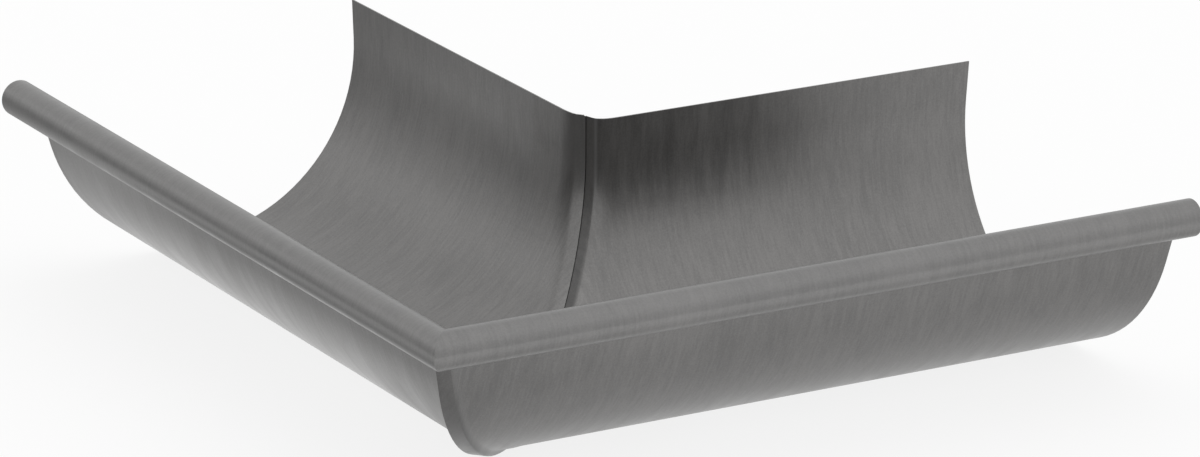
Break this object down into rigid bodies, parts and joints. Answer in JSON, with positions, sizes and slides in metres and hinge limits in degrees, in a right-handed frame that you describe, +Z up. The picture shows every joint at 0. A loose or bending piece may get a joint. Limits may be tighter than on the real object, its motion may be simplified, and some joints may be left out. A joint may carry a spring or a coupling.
{
  "type": "gutter outside miter",
  "caption": "Half-round gutter corner: two troughs with a rolled front bead and a taller back wall meet at an outside right angle and are joined by a folded lock seam.",
  "frame": {"origin": "middle of the part's footprint, at the height of its lowest point, the underside of the seam", "axes": "+X along the right leg towards its open end, +Y along the left leg towards its open end, +Z up"},
  "size_m": [0.458, 0.468, 0.1283],
  "materials": {
    "zinc": "weathered grey zinc sheet, satin, with fine brushed streaks round the profile"
  },
  "bodies": {
    "root": {"right_leg": "zinc", "left_leg": "zinc"}
  },
  "joints": []
}
